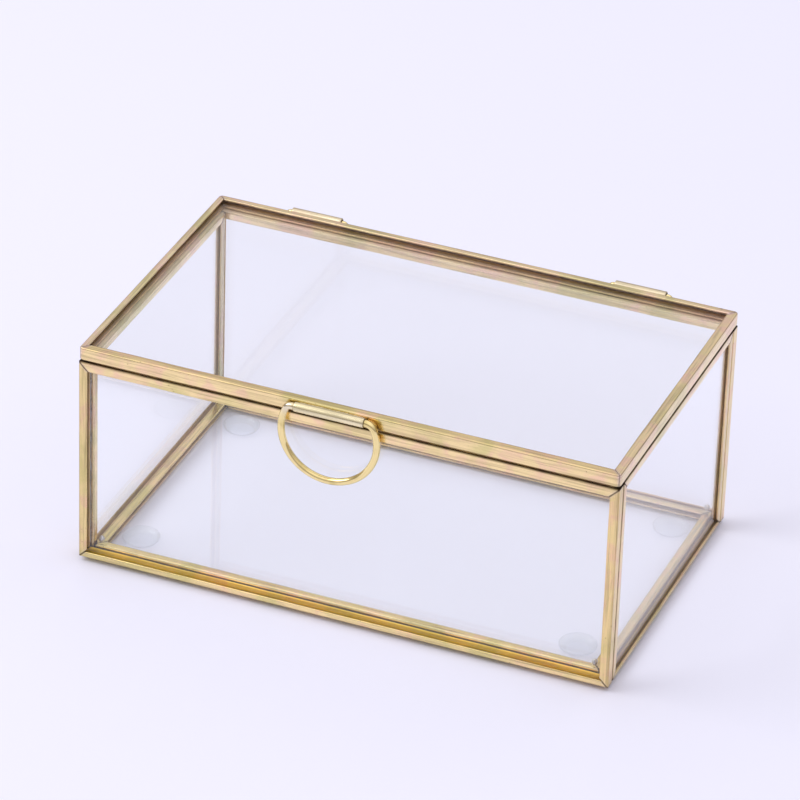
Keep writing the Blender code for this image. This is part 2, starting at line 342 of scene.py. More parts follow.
# Each drawn brass has its bright, pink and olive colours, how mottled it is, and its least roughness.
BRASS = drawn_brass(
    "drawn_brass", (1.0, 0.78, 0.40), (0.98, 0.67, 0.43), (0.80, 0.68, 0.30), 1.0, 0.20
)
TUBE_BRASS = drawn_brass(
    "tube_brass", (0.95, 0.83, 0.53), (0.90, 0.74, 0.47), (0.74, 0.66, 0.38), 0.5, 0.22
)
HINGE_BRASS = drawn_brass(
    "hinge_brass", (0.82, 0.70, 0.47), (0.78, 0.62, 0.44), (0.66, 0.58, 0.38), 0.7, 0.30
)
FILLET_SOLDER = drawn_brass(
    "brassy_solder", (0.86, 0.74, 0.52), (0.82, 0.66, 0.48), (0.7, 0.62, 0.42), 0.6, 0.35
)
WIRE_BRASS = polished_wire("wire_brass", (0.98, 0.80, 0.38), (0.60, 0.47, 0.16))
GLASS = window_glass("window_glass")
GLASS_EDGE = ground_edge("ground_edge")
FOOT_PLASTIC = clear_rubber("bumper_plastic")
SOLDER = tin_solder("tin_solder", 1.0)
# The corner seams' solder at half brightness; the halving is painted shade in the back of the gaps.
SHADED_SEAM_SOLDER = tin_solder("seam_solder", 0.5)

# ---------------------------------------------------------------------------------------------------------
# Surfaces
# ---------------------------------------------------------------------------------------------------------


def box_of(node):
    """The low and high corners of a CAD node's box, as arrays."""
    low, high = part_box(node)
    return np.array(low), np.array(high)


def seed_of(name):
    """A number from 0 to 1 that belongs to a name, and is the same on every run."""
    return (zlib.crc32(name.encode()) % 9973) / 9973.0


def waves(distance, seed, lengths):
    """Mean of sines of the given wavelengths, each with its own phase and smaller where it is shorter."""
    total = np.zeros_like(distance)
    for number, length in enumerate(lengths):
        phase = 2.0 * math.pi * ((seed * (number + 3.7) * 5.31) % 1.0)
        total = total + np.sin(2.0 * math.pi * distance / length + phase) * (length / lengths[0]) ** 0.6
    return total / len(lengths)


def flat_map(run, around):
    """A flat map whose rows are at the distances run and whose columns are at the distances around."""
    return np.stack([run[:, None] + 0.0 * around, around + 0.0 * run[:, None]], -1)


def sheet_mesh(
    name, points, strip, closed_rows, closed_columns, extra_faces=None, grime=None, tint=None, dull=None
):
    """A mesh over a grid of points (rows x columns x 3), whose neighbours are joined by quads.

    strip gives each point's place on the flat map, with one more row or column where the grid closes on
    itself. The material reads three things at each point: an amount of painted shade and dark joint lines,
    an amount of dullness (dull), and a colour (tint) that holds painted reflection and shade as well as
    tarnish.
    Points that lie on each other, as at a pole, are welded, and the faces are turned outwards.
    """
    rows, columns = points.shape[:2]
    row = np.arange(rows if closed_rows else rows - 1)[:, None]
    column = np.arange(columns if closed_columns else columns - 1)[None, :]
    row, column = np.broadcast_arrays(row, column)
    corner_rows = np.stack([row, row + 1, row + 1, row], -1)
    corner_columns = np.stack([column, column, column + 1, column + 1], -1)
    faces = ((corner_rows % rows) * columns + corner_columns % columns).reshape(-1, 4)
    uv = strip[corner_rows, corner_columns].reshape(-1, 2)
    if extra_faces is not None:
        faces = np.concatenate([faces, extra_faces])
        flat = strip[:rows, :columns].reshape(-1, 2)
        uv = np.concatenate([uv, flat[extra_faces].reshape(-1, 2)])
    mesh = bpy.data.meshes.new(name)
    mesh.from_pydata(points.reshape(-1, 3).tolist(), [], faces.tolist())
    layer = mesh.uv_layers.new(name="strip")
    layer.data.foreach_set("uv", uv.astype(np.float32).ravel())
    for label, values in (("grime", grime), ("dull", dull)):
        amount = np.zeros((rows, columns)) if values is None else values
        layer = mesh.attributes.new(label, "FLOAT", "POINT")
        layer.data.foreach_set("value", amount.astype(np.float32).ravel())
    colours = np.ones((rows, columns, 4))
    if tint is not None:
        colours[..., :3] = tint
    layer = mesh.attributes.new("tint", "FLOAT_COLOR", "POINT")
    layer.data.foreach_set("color", colours.astype(np.float32).ravel())
    bm = bmesh.new()
    bm.from_mesh(mesh)
    bmesh.ops.remove_doubles(bm, verts=bm.verts, dist=1e-7)
    bmesh.ops.dissolve_degenerate(bm, edges=bm.edges, dist=1e-8)
    bmesh.ops.recalc_face_normals(bm, faces=bm.faces)
    bm.to_mesh(mesh)
    bm.free()
    return mesh


def show(name, mesh, material, body, replaced=(), sharp=40.0):
    """Puts a finished mesh in the scene, riding a body, in place of the CAD nodes that it stands for.

    Edges that turn by more than sharp degrees stay sharp.
    """
    mesh.materials.append(material)
    mesh.shade_smooth()
    mesh.set_sharp_from_angle(angle=math.radians(sharp))
    piece = bpy.data.objects.new(name, mesh)
    bpy.context.scene.collection.objects.link(piece)
    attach(piece, body)
    if replaced:
        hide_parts(*replaced)
    return piece


def channel_outline(flanges, width, sheet, bend):
    """The U of folded strip as a closed outline: (x across, y inwards) of its outer skin, then its inner.

    flanges holds the reach of the flange on the negative side and that of the one on the positive side.

    The strip's middle line runs down one flange, round a bend, over the web, round the other bend and up the
    other flange. Each skin is that line moved half the sheet's thickness along its normal, and the thickness
    falls to nothing along a quarter circle at each lip, which rounds the lip. bend is the outside radius of
    a fold.
    """
    radius = bend - sheet / 2
    side = width / 2 - sheet / 2
    lip = sheet / 2 * (1.0 - np.cos(np.linspace(0.0, math.pi / 2, 5)))
    falls = [
        np.concatenate([flange - lip, np.linspace(flange - sheet / 2, bend, 6)[1:]]) for flange in flanges
    ]
    turn = np.linspace(0.0, math.pi / 2, 8)[1:]
    web = np.linspace(-side + radius, side - radius, 9)[1:-1]
    left_x = np.concatenate([np.full_like(falls[0], -side), -side + radius * (1.0 - np.cos(turn))])
    left_y, right_y = (np.concatenate([fall, bend - radius * np.sin(turn)]) for fall in falls)
    x = np.concatenate([left_x, web, -left_x[::-1]])
    y = np.concatenate([left_y, np.full_like(web, sheet / 2), right_y[::-1]])
    normal_x = np.concatenate([np.full_like(falls[0], -1.0), -np.cos(turn)])
    normal_y = np.concatenate([np.zeros_like(falls[0]), -np.sin(turn)])
    across = np.concatenate([normal_x, np.zeros_like(web), -normal_x[::-1]])
    inwards = np.concatenate([normal_y, np.full_like(web, -1.0), normal_y[::-1]])
    end = np.sqrt(np.maximum(0.0, (sheet / 2) ** 2 - (sheet / 2 - np.minimum(lip, sheet / 2)) ** 2))
    half = np.full_like(x, sheet / 2)
    half[: len(end)] = end
    half[len(half) - len(end):] = end[::-1]
    outer = np.stack([x + across * half, y + inwards * half], -1)
    inner = np.stack([x - across * half, y - inwards * half], -1)
    return np.concatenate([outer, inner[::-1]])


def rail_axes(node, pane):
    """How a rail lies: its web's middle, unit vectors across, inwards and along it, its size and flanges.

    The rail's longest side is its length. Its middle differs from the pane's middle only inwards of the
    panel, so the direction to the pane's middle is inwards, and what is left over is across the panel. How
    far each flange reaches is the largest distance inwards on its side of the rail.
    """
    low, high = box_of(node)
    pane_low, pane_high = box_of(pane)
    size = high - low
    along = np.zeros(3)
    along[int(np.argmax(size))] = 1.0
    towards = (pane_low + pane_high) / 2 - (low + high) / 2
    inward_axis = int(np.argmax(np.abs(towards)))
    inwards = np.zeros(3)
    inwards[inward_axis] = np.sign(towards[inward_axis])
    across = np.cross(inwards, along)
    outer = (low + high) / 2 - inwards * abs(size @ np.abs(inwards)) / 2
    cad = frame["nodes"][node]
    corners = np.array([cad.matrix_world @ vertex.co for vertex in cad.data.vertices]) - outer
    flanges = [(corners @ inwards)[corners @ across * side > 0.0].max() for side in (-1.0, 1.0)]
    return outer, across, inwards, along, size, flanges


STRIP = 0.5 * MM  # thickness of the folded strip
STRIP_BEND = 0.42 * MM  # outside radius of its folds
MITRE_REACH = 0.14 * MM  # how much further a rail's ends reach than in the CAD, where they stop well short

# What colour each rail shows, as a factor on its brass: its own tarnish together with painted reflection and
# shade, lighter and bluer on rails that mirror the pale room and darker on those in shade; the rest are a
# little duller by a random amount.
RAIL_TONE_AND_LIGHT_TINTS = {
    "lid_front_rail": (1.0, 1.0, 1.0),
    "lid_left_rail": (1.08, 1.12, 1.35),
    "lid_right_rail": (1.0, 1.03, 1.18),
    "lid_back_rail": (1.0, 1.03, 1.2),
    "front_top_rail": (1.0, 1.0, 1.0),
    "front_bottom_rail": (1.0, 1.0, 1.0),
    "front_left_stile": (0.86, 0.86, 0.80),
    "front_right_stile": (0.92, 0.90, 0.84),
    "right_top_rail": (1.03, 1.08, 1.3),
    "right_bottom_rail": (0.80, 0.82, 0.86),
    "right_front_stile": (0.97, 0.98, 1.08),
    "back_top_rail": (1.0, 1.03, 1.25),
    "back_left_stile": (0.78, 0.82, 1.0),
    "left_top_rail": (0.95, 1.0, 1.2),
    "left_back_stile": (0.70, 0.76, 0.95),
    "bottom_front_rail": (1.1, 1.12, 1.08),
    "bottom_right_rail": (0.93, 0.90, 0.73),
    "bottom_left_rail": (1.0, 1.0, 1.0),
}
# The same for the inside of a channel, which is seen through the glass: painted shade, and on the front
# bottom rail a painted orange of light bounced between its brass walls.
INSIDE_LIGHT_AND_SHADE_TINTS = {
    "front_bottom_rail": (1.12, 0.9, 0.2),
    "bottom_front_rail": (1.0, 0.9, 0.7),
    "right_bottom_rail": (0.50, 0.44, 0.40),
}
# Painted shade: the inside of a channel is drawn greyer and darker than its outside.
INSIDE_TINT = (0.72, 0.62, 0.58)
SHADED_INSIDE_TINT = (0.66, 0.56, 0.54)  # on the lid and just below it
SOLDER_TINT = (0.93, 1.0, 1.65)  # where solder has run over the brass
# How oxidised the inside of a channel is.
INSIDE_DULL = {"front_bottom_rail": 1.15, "bottom_front_rail": 1.0, "right_bottom_rail": 0.8}
USUAL_INSIDE_DULL = 0.6
DULL_WEBS = ("back_top_rail", "left_top_rail")  # webs that the lid covers, and that have lost their shine


def on_lid(node):
    return node.startswith("lid_")


def seam_shade(points):
    """How much painted shade a point has from the seams near it: a bell curve across each seam, near the outside
    only.

    The seams are the level gap between the lid and the body, and the upright gaps where the side panels stand
    between the front and back panels.
    """
    lid_low, lid_high = box_of("lid_front_rail")
    half_x = lid_high[0]
    half_y = abs(lid_low[1])
    body_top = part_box("front_top_rail")[1][2]
    level = (body_top + lid_low[2]) / 2
    gap = lid_low[2] - body_top
    upright = (abs(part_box("front_top_rail")[1][1]) + abs(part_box("right_top_rail")[0][1])) / 2
    depth = np.minimum(half_x - np.abs(points[..., 0]), half_y - np.abs(points[..., 1]))
    outside = np.clip(1.0 - (depth - 0.3 * MM) / (1.4 * MM), 0.0, 1.0)
    across_level = 1.5 * np.exp(-(((points[..., 2] - level) / (0.75 * gap)) ** 2))
    across_upright = np.exp(-(((np.abs(points[..., 1]) - upright) / (0.24 * MM)) ** 2))
    return (0.95 * across_level + 0.6 * across_upright * (points[..., 2] < body_top)) * outside


def filed_corner(y, share, half_length):
    """Presses a rail's web in near its ends, so that two rails meet in a corner filed to a quarter circle.

    A point this far from the end, and within the circle's radius of it, moves in to the circle. The point's
    own distance from the end depends on how far in it is, so the answer is approached in steps.
    """
    radius = 1.1 * MM
    skin = 1.6 * MM
    fade = np.clip(1.0 - y / skin, 0.0, 1.0)
    pressed = y
    for _ in range(12):
        from_end = np.clip(half_length - np.abs(share)[:, None] * (half_length - pressed), 0.0, radius)
        press = radius - np.sqrt(radius**2 - (radius - from_end) ** 2)
        pressed = 0.5 * pressed + 0.5 * (y + press * fade)
    return pressed


def rail_rows(half_length):
    """Where a rail's rows of points stand, from -1 to 1 along it, closer together near both ends."""
    near_end = np.array([0.0, 0.1, 0.22, 0.36, 0.52, 0.72, 0.95, 1.2, 1.5, 1.9, 2.4]) * MM / half_length
    middle = 1.0 - 3.0 * MM / half_length
    return np.concatenate([near_end - 1.0, np.linspace(-middle, middle, 60), 1.0 - near_end[::-1]])


def hand_fitted(x, y, distance, width, flange, seed):
    """An outline whose lips are drawn back, and whose flanges and web are pressed in, by slow waves."""
    depth = np.clip(y / flange, 0.0, 1.0)
    side = np.sign(x)
    lip_wave = waves(distance + side * 7.0 * MM, seed, (61 * MM, 23 * MM, 9 * MM))
    y = y - depth**2 * (0.10 + 0.09 * lip_wave) * MM
    press = 0.5 + 0.5 * waves(distance - side * 11.0 * MM, seed + 0.3, (47 * MM, 19 * MM, 7 * MM))
    x = x - side * depth * press * 0.05 * MM
    dent = 0.5 + 0.5 * waves(distance, seed + 0.6, (53 * MM, 17 * MM, 6 * MM))
    from_fold = np.clip(1.0 - np.abs(x) / (width / 2), 0.0, 1.0)
    return x, y + from_fold * (1.0 - depth) * dent * 0.03 * MM


def rail_shade_and_marks(node, points, x, y, from_end, width):
    """The dark on a rail: a dark joint line in its mitres, and painted shade towards its mitred ends, along its
    folds and in the seams between the panels.
    """
    in_mitre = (0.2 if on_lid(node) else 0.6) * np.exp(-((from_end / (0.09 * MM)) ** 2))
    # Painted shade, fading over a millimetre from each mitred end.
    near_mitre = 0.10 * np.exp(-from_end / (1.0 * MM))
    # Painted shade: a dark line along the outer folds.
    on_fold = np.exp(-(((y - 0.14 * MM) / (0.12 * MM)) ** 2)) * (np.abs(x) > width / 2 - 0.4 * MM)
    return np.clip(in_mitre + near_mitre + 0.3 * on_fold + seam_shade(points), 0.0, 1.0)


def rail_tint(node, x, y, inside, from_end, seed):
    """The factor on a rail's brass: one outside and one inside the channel, both with painted light and shade in
    them, and silvery where solder ran.
    """
    usual = (0.97 - 0.1 * seed, 0.97 - 0.1 * seed, 0.98 - 0.08 * seed)
    outside_tint = np.array(RAIL_TONE_AND_LIGHT_TINTS.get(node, usual))
    shaded = on_lid(node) or node.endswith("_top_rail")
    inside_tint = np.array(INSIDE_LIGHT_AND_SHADE_TINTS.get(node, SHADED_INSIDE_TINT if shaded else INSIDE_TINT))
    tint = outside_tint + (inside_tint - outside_tint) * inside[..., None]
    smear = 0.6 + 0.4 * waves(x * 3.0 + y * 5.0, seed + 0.1, (4 * MM, 1.9 * MM, 0.8 * MM))
    soldered = (0.9 if on_lid(node) else 0.5) * np.exp(-((from_end / (0.45 * MM)) ** 2)) * smear
    soldered = np.clip(soldered * (1.0 - inside), 0.0, 1.0)
    return tint + (np.array(SOLDER_TINT) - tint) * soldered[..., None]


def rail_dull(node, y, inside):
    """How far a rail's shine has gone, inside the channel and on the webs that the lid covers."""
    dull = inside * INSIDE_DULL.get(node, USUAL_INSIDE_DULL)
    if node in DULL_WEBS:
        dull = np.maximum(dull, np.clip(1.0 - y / (0.35 * MM), 0.0, 0.9))
    return dull


def brass_rail(node, pane):
    """One mitred length of channel, carried along the edge of its pane.

    A point (x, y) of the outline runs from end to end of the rail less y at either end, which cuts the
    mitres. Slow waves along the rail draw the lips back and press the flanges and the web in by a few
    hundredths of a millimetre, as in strip that was folded and fitted by hand.
    """
    outer, across, inwards, along, size, flanges = rail_axes(node, pane)
    seed = seed_of(node)
    half_length = abs(size @ along) / 2
    width = abs(size @ across)
    outline = channel_outline(flanges, width, STRIP, STRIP_BEND)
    share = rail_rows(half_length)
    count = len(share)
    columns = len(outline)
    x = outline[None, :, 0] + 0.0 * share[:, None]
    y = outline[None, :, 1] + 0.0 * share[:, None]
    distance = share[:, None] * half_length + 0.0 * x
    x, y = hand_fitted(x, y, distance, width, max(flanges), seed)
    if on_lid(node):
        y = filed_corner(y, share, half_length)
    run = share[:, None] * (half_length - y + MITRE_REACH)
    points = outer + x[..., None] * across + y[..., None] * inwards + run[..., None] * along
    step = np.arange(columns // 2 - 1)
    cap = np.stack([step, step + 1, columns - 2 - step, columns - 1 - step], -1)
    caps = np.concatenate([cap[:, ::-1], cap + (count - 1) * columns])
    sides = np.diff(np.vstack([outline, outline[:1]]), axis=0)
    around = np.concatenate([[0.0], np.cumsum(np.hypot(*sides.T))])
    u = (run / CM + seed * 37.0)[:, list(range(columns)) + [0]]
    v = np.broadcast_to(around / CM + seed * 11.0, u.shape)
    from_end = np.clip((half_length - y) - np.abs(run), 0.0, None)
    inside = np.zeros((count, columns))
    inside[:, columns // 2:] = 1.0
    mesh = sheet_mesh(
        node + "_strip", points, np.stack([u, v], -1), False, True, caps,
        grime=rail_shade_and_marks(node, points, x, y, from_end, width),
        tint=rail_tint(node, x, y, inside, from_end, seed),
        dull=rail_dull(node, y, inside),
    )
    return show(node + "_strip", mesh, BRASS, BODY_OF_NODE[node], [node])


def path_frame(path):
    """Unit tangents of a path, and the distance of each point along it."""
    steps = np.diff(path, axis=0)
    distance = np.concatenate([[0.0], np.cumsum(np.linalg.norm(steps, axis=1))])
    tangent = np.gradient(path, distance, axis=0)
    return tangent / np.linalg.norm(tangent, axis=1)[:, None], distance


def even_path(path, count):
    """The same path with its points spaced evenly."""
    _, distance = path_frame(path)
    target = np.linspace(0.0, distance[-1], count)
    return np.stack([np.interp(target, distance, path[:, axis]) for axis in range(3)], -1)


def wire_mesh(name, path, radius, side, sides, shade_at=None, tinned_at=None):
    """A round wire along a path: at every point a circle square to the path, closed by a dome at each end.

    The circle's first direction is the given side, made square to the path. The radius swells and shrinks by
    about a hundredth, and falls to nothing along a quarter circle at the ends. The last two arguments give the
    painted shade and the solder on each point of the path.
    """
    tangent, distance = path_frame(path)
    first = side - tangent * (tangent @ side)[:, None]
    first = first / np.linalg.norm(first, axis=1)[:, None]
    second = np.cross(tangent, first)
    from_end = np.minimum(distance, distance[-1] - distance)
    dome = np.sqrt(np.clip(1.0 - (1.0 - np.clip(from_end / (0.5 * radius), 0.0, 1.0)) ** 2, 0.0, 1.0))
    swell = 1.0 - 0.012 * (0.5 + 0.5 * waves(distance, seed_of(name), (17 * MM, 7 * MM, 3 * MM)))
    around = np.linspace(0.0, 2.0 * math.pi, sides, endpoint=False)
    reach = (radius * dome * swell)[:, None, None]
    ring = np.cos(around)[None, :, None] * first[:, None] + np.sin(around)[None, :, None] * second[:, None]
    points = path[:, None] + reach * ring
    strip = flat_map(
        distance / CM + seed_of(name) * 13.0, np.linspace(0.0, 2.0 * math.pi * radius / CM, sides + 1)
    )
    grime, tinned = (
        None if amount_at is None else np.repeat(amount_at(path)[:, None], sides, 1)
        for amount_at in (shade_at, tinned_at)
    )
    return sheet_mesh(name, points, strip, False, True, grime=grime, dull=tinned)


def barrel(node, bore, material):
    """A tube rolled from strip: its wall's outline turned about the axis, with a shallow seam along it.

    The outline is a rectangle from the bore out to the wall with its outer corners rounded, and the seam is a
    narrow hollow in the outside radius, on the side that faces the rail.
    """
    low, high = box_of(node)
    centre = (low + high) / 2
    radius = (high[2] - low[2]) / 2
    half = (high[0] - low[0]) / 2
    edge = 0.16 * MM
    turn = np.linspace(0.0, math.pi / 2, 5)
    straight = np.linspace(-half + edge, half - edge, 28)[1:-1]
    outer_x = np.concatenate([
        -half + edge * (1.0 - np.cos(turn)), straight, half - edge * (1.0 - np.cos(turn[::-1])),
    ])
    shoulder = radius - edge * (1.0 - np.sin(turn))
    outer_r = np.concatenate([shoulder, np.full(len(straight), radius), shoulder[::-1]])
    inner_x = np.linspace(half, -half, 24)
    run = np.concatenate([outer_x, inner_x])
    reach = np.concatenate([outer_r, np.full(len(inner_x), bore)])[:, None]
    in_bore = reach < bore * 1.001
    sides = 72
    angle = np.linspace(0.0, 2.0 * math.pi, sides, endpoint=False)
    towards_rail = -np.sign(centre[1])
    seam = np.exp(-(((np.cos(angle) * towards_rail - 1.0) / 0.012) ** 2)) * 0.12 * MM
    distance = reach - (reach > bore + 0.5 * (radius - bore)) * seam
    wobble = 1.0 - 0.008 * (0.5 + 0.5 * waves(run, seed_of(node), (13 * MM, 5 * MM, 2 * MM)))[:, None]
    distance = np.where(in_bore, distance, distance * wobble)
    points = np.stack([
        centre[0] + run[:, None] + 0.0 * distance,
        centre[1] + distance * np.cos(angle),
        centre[2] + distance * np.sin(angle),
    ], -1)
    closed_run = np.concatenate([run, run[:1]])
    strip = flat_map(
        closed_run / CM + seed_of(node) * 17.0, np.linspace(0.0, 2.0 * math.pi * radius / CM, sides + 1)
    )
    # Painted shade: near-black in the bore, and darker round the tube's mouths.
    mouth = 0.35 * np.exp(-((half - np.abs(run)) / (0.12 * MM)) ** 2)[:, None]
    grime = np.clip(in_bore * 0.9 + mouth + np.zeros(sides), 0.0, 1.0)
    mesh = sheet_mesh(node + "_tube", points, strip, True, True, grime=grime)
    return show(node + "_tube", mesh, material, BODY_OF_NODE[node], [node])


def pull_ring():
    """The ring's wire: out of the barrel, round a tight corner, along a round bow and back in at the far end.

    The bow is an arc about a point below the barrel's axis. Each corner is a smaller arc that touches both
    the axis and the bow, and the left one is bent tighter than the right.
    """
    low, high = box_of("pull_ring")
    joint = next(j for j in frame["joints"] if j["name"] == "ring_swing")
    axis = np.array(joint["pos_m"])
    radius = (high[1] - low[1]) / 2
    bow = (high[0] - low[0]) / 2 - radius
    drop = axis[2] - low[2] - radius - bow

    def corner(bend, sign):
        """Where a corner's circle stands, and the angle at which it meets the bow."""
        rise = drop - bend
        reach = math.sqrt((bow - bend) ** 2 - rise**2)
        return sign * reach, math.asin(rise / (bow - bend))

    def half(bend, sign):
        """One half of the wire's middle line, from inside the barrel to the lowest point of the bow."""
        x, shoulder = corner(bend, sign)
        turn = np.linspace(math.pi / 2, shoulder, 24)
        straight = np.linspace(sign * 0.3 * MM, x, 30)[:-1]
        sweep = np.linspace(shoulder, -math.pi / 2, 120)[1:]
        flat = [
            np.stack([straight, 0.0 * straight], -1),
            np.stack([x + sign * bend * np.cos(turn), bend * np.sin(turn) - bend], -1),
            np.stack([sign * bow * np.cos(sweep), bow * np.sin(sweep) - drop], -1),
        ]
        return np.concatenate(flat)

    right = half(2.4 * MM, 1.0)
    left = half(1.5 * MM, -1.0)
    flat = np.concatenate([right, left[-2::-1]])
    path = np.stack([axis[0] + flat[:, 0], np.full(len(flat), axis[1]), axis[2] + flat[:, 1]], -1)
    path = even_path(path, 420)
    for _ in range(6):
        path[1:-1] = (path[:-2] + 2.0 * path[1:-1] + path[2:]) / 4.0
    barrel_low, barrel_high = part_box("handle_barrel")

    def shade_at(points):
        """Painted shade inside the barrel and just where the wire leaves it."""
        past = np.maximum(barrel_low[0] - points[:, 0], points[:, 0] - barrel_high[0])
        level = np.abs(points[:, 2] - axis[2]) < 0.6 * MM
        return np.clip(0.9 - past / (0.25 * MM), 0.0, 0.9) * level

    def tinned_at(points):
        """Solder that wets the wire at the barrel's left end."""
        corner_x = axis[0] - bow + 1.6 * MM
        away = np.hypot(points[:, 0] - corner_x, points[:, 2] - axis[2])
        return 0.8 * np.exp(-((away / (2.2 * MM)) ** 2))

    mesh = wire_mesh("pull_ring_wire", path, radius, np.array([0.0, 1.0, 0.0]), 40, shade_at, tinned_at)
    return show("pull_ring_wire", mesh, WIRE_BRASS, "pull_ring", ["pull_ring"], 60.0)


def hinge_pin(node, tube):
    """A staple of thin wire: the pin through the barrel, and two legs that turn down on to the back rail."""
    low, high = box_of(node)
    tube_low, tube_high = box_of(tube)
    axis = (tube_low + tube_high) / 2
    radius = high[2] - axis[2]
    reach = high[0] - axis[0] - radius
    bend = 1.0 * MM
    near = low[1] + radius
    turn = np.linspace(math.pi / 2, 0.0, 16)
    level = np.linspace(0.0, reach - bend, 20)[:-1]
    leg = np.linspace(-bend, low[2] - axis[2], 25)[1:]
    x = np.concatenate([level, reach - bend + bend * np.cos(turn), np.full(len(leg), reach)])
    z = np.concatenate([0.0 * level, bend * np.sin(turn) - bend, leg])
    lean = np.clip((-z - bend) / (1.3 * MM), 0.0, 1.0)
    y = axis[1] + (near - axis[1]) * lean * lean * (3.0 - 2.0 * lean)
    right = np.stack([axis[0] + x, y, axis[2] + z], -1)
    left = np.stack([axis[0] - x, y, axis[2] + z], -1)
    path = even_path(np.concatenate([left[::-1], right[1:]]), 200)
    mesh = wire_mesh(node + "_wire", path, radius, np.array([0.0, 1.0, 0.05]), 24)
    return show(node + "_wire", mesh, WIRE_BRASS, "case", [node], 60.0)


def bumper_foot(node):
    """A clear bumper: a flat sole, a bulging side and a flat top, turned about an upright axis.

    From the sole's edge the side follows a quarter of an ellipse out and up to the widest point, and a small
    round takes it back in to the flat top.
    """
    low, high = box_of(node)
    centre = (low + high) / 2
    radius = (high[0] - low[0]) / 2
    sole = 0.62 * radius
    height = high[2] - low[2]
    turn = np.linspace(-math.pi / 2, 0.0, 18)
    edge = 0.25 * MM
    rounding = np.linspace(0.0, math.pi / 2, 7)[1:]
    reach = np.concatenate([
        np.linspace(0.0, sole, 8)[:-1], sole + (radius - sole) * np.cos(turn),
        radius - edge * (1.0 - np.cos(rounding)), np.linspace(radius - edge, 0.0, 8)[1:],
    ])
    rise = np.concatenate([
        np.zeros(7), (height - edge) * (1.0 + np.sin(turn)), height - edge * (1.0 - np.sin(rounding)),
        np.full(7, height),
    ])
    sides = 96
    angle = np.linspace(0.0, 2.0 * math.pi, sides, endpoint=False)
    points = np.stack([
        centre[0] + reach[:, None] * np.cos(angle), centre[1] + reach[:, None] * np.sin(angle),
        low[2] + rise[:, None] + 0.0 * angle,
    ], -1)
    strip = flat_map(np.linspace(0.0, 1.5, len(reach)), np.linspace(0.0, 3.0, sides + 1))
    mesh = sheet_mesh(node + "_bumper", points, strip, False, True)
    return show(node + "_bumper", mesh, FOOT_PLASTIC, "case", [node], 55.0)


def solder_bead(node):
    """A frozen drop of solder: a ball drawn out to its box, with lumps that only press its surface in."""
    low, high = box_of(node)
    seed = seed_of(node) * 6.28
    centre = (low + high) / 2
    half = (high - low) / 2
    rows, columns = 40, 64
    north = np.linspace(0.0, math.pi, rows)[:, None]
    east = np.linspace(0.0, 2.0 * math.pi, columns, endpoint=False)[None, :]
    direction = np.stack([
        np.sin(north) * np.cos(east), np.sin(north) * np.sin(east), np.cos(north) + 0.0 * east,
    ], -1)
    lump = np.sin(3.1 * direction[..., 0] + seed) * np.sin(2.7 * direction[..., 1] + 2 * seed)
    lump = lump + 0.5 * np.sin(6.3 * direction[..., 2] + seed) * np.sin(5.1 * direction[..., 0] - seed)
    squeeze = 1.0 - 0.16 * (0.5 + 0.33 * lump)
    points = centre + direction * half * squeeze[..., None]
    strip = flat_map(np.linspace(0.0, 0.3, rows), np.linspace(0.0, 0.6, columns + 1))
    mesh = sheet_mesh(node + "_drop", points, strip, False, True)
    return show(node + "_drop", mesh, SOLDER, "case", [node], 80.0)


def closed_ends(share, power):
    """1 over most of a length, falling to 0 at both ends, and the later the higher the power."""
    return np.sqrt(np.clip(1.0 - (2.0 * share - 1.0) ** power, 0.0, 1.0))


def solder_seam(name, start, end, width, body):
    """A thin run of solder, darkened as painted shade, that fills the back of a gap between two channels: a flat,
    uneven rod.
    """
    start, end, width = np.array(start), np.array(end), np.array(width)
    count, sides = 120, 16
    share = np.linspace(0.0, 1.0, count)
    path = start + (end - start) * share[:, None]
    along = (end - start) / np.linalg.norm(end - start)
    first = np.eye(3)[int(np.argmin(np.abs(along) * 10.0 + np.arange(3) * 0.01))]
    second = np.cross(along, first)
    distance = share * np.linalg.norm(end - start)
    angle = np.linspace(0.0, 2.0 * math.pi, sides, endpoint=False)
    uneven = 1.0 - 0.25 * (0.5 + 0.5 * waves(distance, seed_of(name), (9 * MM, 4 * MM, 1.7 * MM)))
    thickness = (closed_ends(share, 40) * uneven)[:, None]
    reach_first = abs(width @ first) / 2 * thickness
    reach_second = abs(width @ np.abs(second)) / 2 * thickness
    points = path[:, None] + (reach_first * np.cos(angle))[..., None] * first
    points = points + (reach_second * np.sin(angle))[..., None] * second
    strip = flat_map(distance / CM, np.linspace(0.0, 0.2, sides + 1))
    mesh = sheet_mesh(name, points, strip, False, True)
    return show(name, mesh, SHADED_SEAM_SOLDER, body, (), 80.0)


def dress_pane(pane):
    """Clear glass on a pane's two broad faces, and the ground finish on the faces round its edge."""
    thin = int(np.argmin(np.array(pane.dimensions)))
    pane.data.materials.clear()
    pane.data.materials.append(GLASS)
    pane.data.materials.append(GLASS_EDGE)
    for face in pane.data.polygons:
        face.material_index = 0 if abs(face.normal[thin]) > 0.9 else 1


